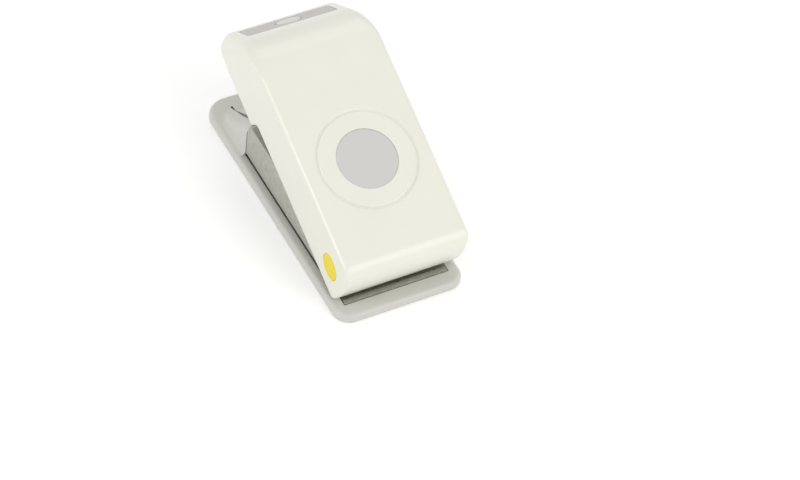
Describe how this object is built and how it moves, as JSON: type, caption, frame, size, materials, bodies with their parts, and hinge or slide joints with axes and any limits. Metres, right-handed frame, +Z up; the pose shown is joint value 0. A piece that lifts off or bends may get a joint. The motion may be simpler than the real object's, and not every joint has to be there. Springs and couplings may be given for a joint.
{
  "type": "circle punch",
  "caption": "Hand lever punch that cuts a round disc from paper, with a grey base, metal guide frame, white lever, round pad and sprung cutter.",
  "frame": {"origin": "middle of the base's underside, which is the bottom centre of the bounding box", "axes": "+Z up, +Y from the hinge towards the rear end that the hand presses, +X to the right seen from the hinge end"},
  "size_m": [0.0564, 0.128, 0.0648],
  "materials": {
    "white_shell": "warm white moulded plastic, semi-gloss",
    "white_pad": "warm white moulded plastic, semi-gloss",
    "grey_disc": "light warm grey inlay, satin",
    "label_grey": "light warm grey plate, satin",
    "badge_white": "pale bare oval, satin",
    "yellow": "yellow moulded plastic",
    "grey_base": "light warm grey moulded plastic, satin",
    "dark_plastic": "mid grey moulded plastic",
    "cast_metal": "speckled, bare die-cast metal",
    "plated_steel": "plated sheet and screws",
    "tool_steel": "hardened and ground",
    "spring_steel": "bright drawn wire",
    "nylon": "natural nylon"
  },
  "bodies": {
    "base": {"base_tray": "grey_base", "die_plate": "plated_steel", "spacer_plate": "plated_steel", "guide_frame": "cast_metal", "clamp_screw_1": "plated_steel", "clamp_screw_2": "plated_steel", "tray_screw_1": "plated_steel", "tray_screw_2": "plated_steel", "tray_screw_3": "plated_steel", "tray_screw_4": "plated_steel", "hinge_pin": "plated_steel"},
    "cutter": {"cutter": "tool_steel", "plunger_cap": "dark_plastic", "cap_screw": "plated_steel", "return_spring": "spring_steel"},
    "lever": {"lever_shell": "white_shell", "press_pad": "white_pad", "size_disc": "grey_disc", "label_plate": "label_grey", "label_badge": "badge_white", "lever_bracket": "plated_steel", "bracket_screw_1": "plated_steel", "bracket_screw_2": "plated_steel", "bracket_screw_3": "plated_steel", "bracket_screw_4": "plated_steel", "presser_pin": "tool_steel", "pivot_bush_left": "nylon", "pivot_bush_right": "nylon", "pin_cap_left": "yellow", "pin_cap_right": "yellow"},
    "lock": {"lock_slider": "grey_base"}
  },
  "joints": [
    {"name": "lever_hinge", "type": "hinge", "parent": "base", "child": "lever", "pos_m": [0, -0.049, 0.0199], "axis": [1, 0, 0], "range_deg": [-20, 0], "stiffness_Nm_per_rad": 1.2, "springref_deg": 20.05},
    {"name": "cutter_slide", "type": "slide", "parent": "base", "child": "cutter", "axis": [0, 0, 1], "range_m": [-0.01073, 0], "deforming": ["return_spring"]},
    {"name": "lock_slide", "type": "slide", "parent": "base", "child": "lock", "axis": [0, 1, 0], "range_m": [0, 0.003]}
  ],
  "couplings": [
    {"joint": "cutter_slide", "follows": "lever_hinge", "m_per_rad": 0.030716}
  ]
}
